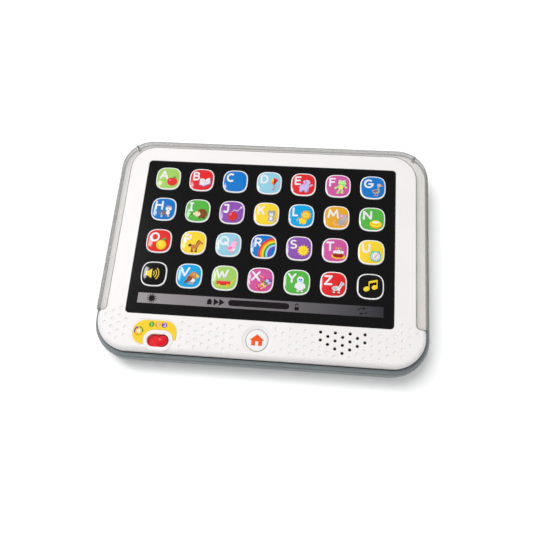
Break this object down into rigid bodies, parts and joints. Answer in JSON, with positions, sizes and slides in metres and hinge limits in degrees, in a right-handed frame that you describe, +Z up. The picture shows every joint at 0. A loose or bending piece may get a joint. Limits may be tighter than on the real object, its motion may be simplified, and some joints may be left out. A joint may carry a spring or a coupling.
{
  "type": "kids toy tablet",
  "caption": "Toy learning tablet with sprung alphabet keys under a black panel, clear rim, mode slider, home button, speaker holes and screwed battery door.",
  "frame": {"origin": "centre of the overall box, on the surface the feet rest on", "axes": "+X to the right of the keys, +Y towards the top edge, +Z up out of the face"},
  "size_m": [0.2486, 0.18, 0.0285],
  "materials": {
    "white_shell": "satin gloss",
    "grey_shell": "fine satin",
    "dark_grey": "satin",
    "black_panel": "semi gloss",
    "clear_plastic": "clear gloss",
    "label_yellow": "printed gloss",
    "slider_red": "gloss",
    "steel": "plated",
    "foot_rubber": "matte",
    "membrane_rubber": "matte",
    "board_green": "solder mask",
    "speaker_paper": "matte",
    "cell_wrap": "wrapped",
    "key_red": "gloss",
    "key_green": "gloss",
    "key_lime": "gloss",
    "key_blue": "gloss",
    "key_sky": "gloss",
    "key_pink": "gloss",
    "key_purple": "gloss",
    "key_yellow": "gloss",
    "key_orange": "gloss",
    "key_black": "gloss"
  },
  "bodies": {
    "housing": {"front_shell": "white_shell", "rear_shell": "grey_shell", "clear_rim": "clear_plastic", "screen_panel": "black_panel", "switch_label": "label_yellow", "key_membrane": "membrane_rubber", "main_board": "board_green", "control_board": "board_green", "stage_switch": "steel", "home_switch": "dark_grey", "power_switch": "steel", "speaker_frame": "steel", "speaker_cone": "speaker_paper", "speaker_magnet": "steel", "contact_plate_left": "steel", "contact_plate_right": "steel", "battery_cell_1": "cell_wrap", "battery_cell_2": "cell_wrap", "battery_cell_3": "cell_wrap", "case_screw_1": "steel", "rubber_foot_1": "foot_rubber", "case_screw_2": "steel", "rubber_foot_2": "foot_rubber", "case_screw_3": "steel", "rubber_foot_3": "foot_rubber", "case_screw_4": "steel", "rubber_foot_4": "foot_rubber"},
    "key_a_body": {"key_a": "key_lime"},
    "key_b_body": {"key_b": "key_red"},
    "key_c_body": {"key_c": "key_blue"},
    "key_d_body": {"key_d": "key_sky"},
    "key_e_body": {"key_e": "key_red"},
    "key_f_body": {"key_f": "key_pink"},
    "key_g_body": {"key_g": "key_blue"},
    "key_h_body": {"key_h": "key_blue"},
    "key_i_body": {"key_i": "key_green"},
    "key_j_body": {"key_j": "key_purple"},
    "key_k_body": {"key_k": "key_yellow"},
    "key_l_body": {"key_l": "key_blue"},
    "key_m_body": {"key_m": "key_orange"},
    "key_n_body": {"key_n": "key_green"},
    "key_o_body": {"key_o": "key_red"},
    "key_p_body": {"key_p": "key_yellow"},
    "key_q_body": {"key_q": "key_sky"},
    "key_r_body": {"key_r": "key_blue"},
    "key_s_body": {"key_s": "key_purple"},
    "key_t_body": {"key_t": "key_pink"},
    "key_u_body": {"key_u": "key_yellow"},
    "key_sound_body": {"key_sound": "key_black"},
    "key_v_body": {"key_v": "key_blue"},
    "key_w_body": {"key_w": "key_lime"},
    "key_x_body": {"key_x": "key_pink"},
    "key_y_body": {"key_y": "key_green"},
    "key_z_body": {"key_z": "key_red"},
    "key_music_body": {"key_music": "key_black"},
    "home_button_body": {"home_button": "white_shell"},
    "stage_slider_body": {"stage_slider": "slider_red"},
    "power_slider_body": {"power_slider": "dark_grey"},
    "battery_door_body": {"battery_door": "grey_shell", "battery_door_screw": "steel"}
  },
  "joints": [
    {"name": "stage_slide", "type": "slide", "parent": "housing", "child": "stage_slider_body", "axis": [-1, 0, 0], "range_m": [0, 0.007]},
    {"name": "power_slide", "type": "slide", "parent": "housing", "child": "power_slider_body", "axis": [1, 0, 0], "range_m": [0, 0.008]},
    {"name": "battery_door_lift", "type": "slide", "parent": "housing", "child": "battery_door_body", "axis": [0, 0, -1], "range_m": [0, 0.012]},
    {"name": "home_press", "type": "slide", "parent": "housing", "child": "home_button_body", "axis": [0, 0, -1], "range_m": [0, 0.0009], "stiffness_N_per_m": 500},
    {"name": "key_a_press", "type": "slide", "parent": "housing", "child": "key_a_body", "axis": [0, 0, -1], "range_m": [0, 0.001], "stiffness_N_per_m": 500},
    {"name": "key_b_press", "type": "slide", "parent": "housing", "child": "key_b_body", "axis": [0, 0, -1], "range_m": [0, 0.001], "stiffness_N_per_m": 500},
    {"name": "key_c_press", "type": "slide", "parent": "housing", "child": "key_c_body", "axis": [0, 0, -1], "range_m": [0, 0.001], "stiffness_N_per_m": 500},
    {"name": "key_d_press", "type": "slide", "parent": "housing", "child": "key_d_body", "axis": [0, 0, -1], "range_m": [0, 0.001], "stiffness_N_per_m": 500},
    {"name": "key_e_press", "type": "slide", "parent": "housing", "child": "key_e_body", "axis": [0, 0, -1], "range_m": [0, 0.001], "stiffness_N_per_m": 500},
    {"name": "key_f_press", "type": "slide", "parent": "housing", "child": "key_f_body", "axis": [0, 0, -1], "range_m": [0, 0.001], "stiffness_N_per_m": 500},
    {"name": "key_g_press", "type": "slide", "parent": "housing", "child": "key_g_body", "axis": [0, 0, -1], "range_m": [0, 0.001], "stiffness_N_per_m": 500},
    {"name": "key_h_press", "type": "slide", "parent": "housing", "child": "key_h_body", "axis": [0, 0, -1], "range_m": [0, 0.001], "stiffness_N_per_m": 500},
    {"name": "key_i_press", "type": "slide", "parent": "housing", "child": "key_i_body", "axis": [0, 0, -1], "range_m": [0, 0.001], "stiffness_N_per_m": 500},
    {"name": "key_j_press", "type": "slide", "parent": "housing", "child": "key_j_body", "axis": [0, 0, -1], "range_m": [0, 0.001], "stiffness_N_per_m": 500},
    {"name": "key_k_press", "type": "slide", "parent": "housing", "child": "key_k_body", "axis": [0, 0, -1], "range_m": [0, 0.001], "stiffness_N_per_m": 500},
    {"name": "key_l_press", "type": "slide", "parent": "housing", "child": "key_l_body", "axis": [0, 0, -1], "range_m": [0, 0.001], "stiffness_N_per_m": 500},
    {"name": "key_m_press", "type": "slide", "parent": "housing", "child": "key_m_body", "axis": [0, 0, -1], "range_m": [0, 0.001], "stiffness_N_per_m": 500},
    {"name": "key_n_press", "type": "slide", "parent": "housing", "child": "key_n_body", "axis": [0, 0, -1], "range_m": [0, 0.001], "stiffness_N_per_m": 500},
    {"name": "key_o_press", "type": "slide", "parent": "housing", "child": "key_o_body", "axis": [0, 0, -1], "range_m": [0, 0.001], "stiffness_N_per_m": 500},
    {"name": "key_p_press", "type": "slide", "parent": "housing", "child": "key_p_body", "axis": [0, 0, -1], "range_m": [0, 0.001], "stiffness_N_per_m": 500},
    {"name": "key_q_press", "type": "slide", "parent": "housing", "child": "key_q_body", "axis": [0, 0, -1], "range_m": [0, 0.001], "stiffness_N_per_m": 500},
    {"name": "key_r_press", "type": "slide", "parent": "housing", "child": "key_r_body", "axis": [0, 0, -1], "range_m": [0, 0.001], "stiffness_N_per_m": 500},
    {"name": "key_s_press", "type": "slide", "parent": "housing", "child": "key_s_body", "axis": [0, 0, -1], "range_m": [0, 0.001], "stiffness_N_per_m": 500},
    {"name": "key_t_press", "type": "slide", "parent": "housing", "child": "key_t_body", "axis": [0, 0, -1], "range_m": [0, 0.001], "stiffness_N_per_m": 500},
    {"name": "key_u_press", "type": "slide", "parent": "housing", "child": "key_u_body", "axis": [0, 0, -1], "range_m": [0, 0.001], "stiffness_N_per_m": 500},
    {"name": "key_sound_press", "type": "slide", "parent": "housing", "child": "key_sound_body", "axis": [0, 0, -1], "range_m": [0, 0.001], "stiffness_N_per_m": 500},
    {"name": "key_v_press", "type": "slide", "parent": "housing", "child": "key_v_body", "axis": [0, 0, -1], "range_m": [0, 0.001], "stiffness_N_per_m": 500},
    {"name": "key_w_press", "type": "slide", "parent": "housing", "child": "key_w_body", "axis": [0, 0, -1], "range_m": [0, 0.001], "stiffness_N_per_m": 500},
    {"name": "key_x_press", "type": "slide", "parent": "housing", "child": "key_x_body", "axis": [0, 0, -1], "range_m": [0, 0.001], "stiffness_N_per_m": 500},
    {"name": "key_y_press", "type": "slide", "parent": "housing", "child": "key_y_body", "axis": [0, 0, -1], "range_m": [0, 0.001], "stiffness_N_per_m": 500},
    {"name": "key_z_press", "type": "slide", "parent": "housing", "child": "key_z_body", "axis": [0, 0, -1], "range_m": [0, 0.001], "stiffness_N_per_m": 500},
    {"name": "key_music_press", "type": "slide", "parent": "housing", "child": "key_music_body", "axis": [0, 0, -1], "range_m": [0, 0.001], "stiffness_N_per_m": 500}
  ]
}
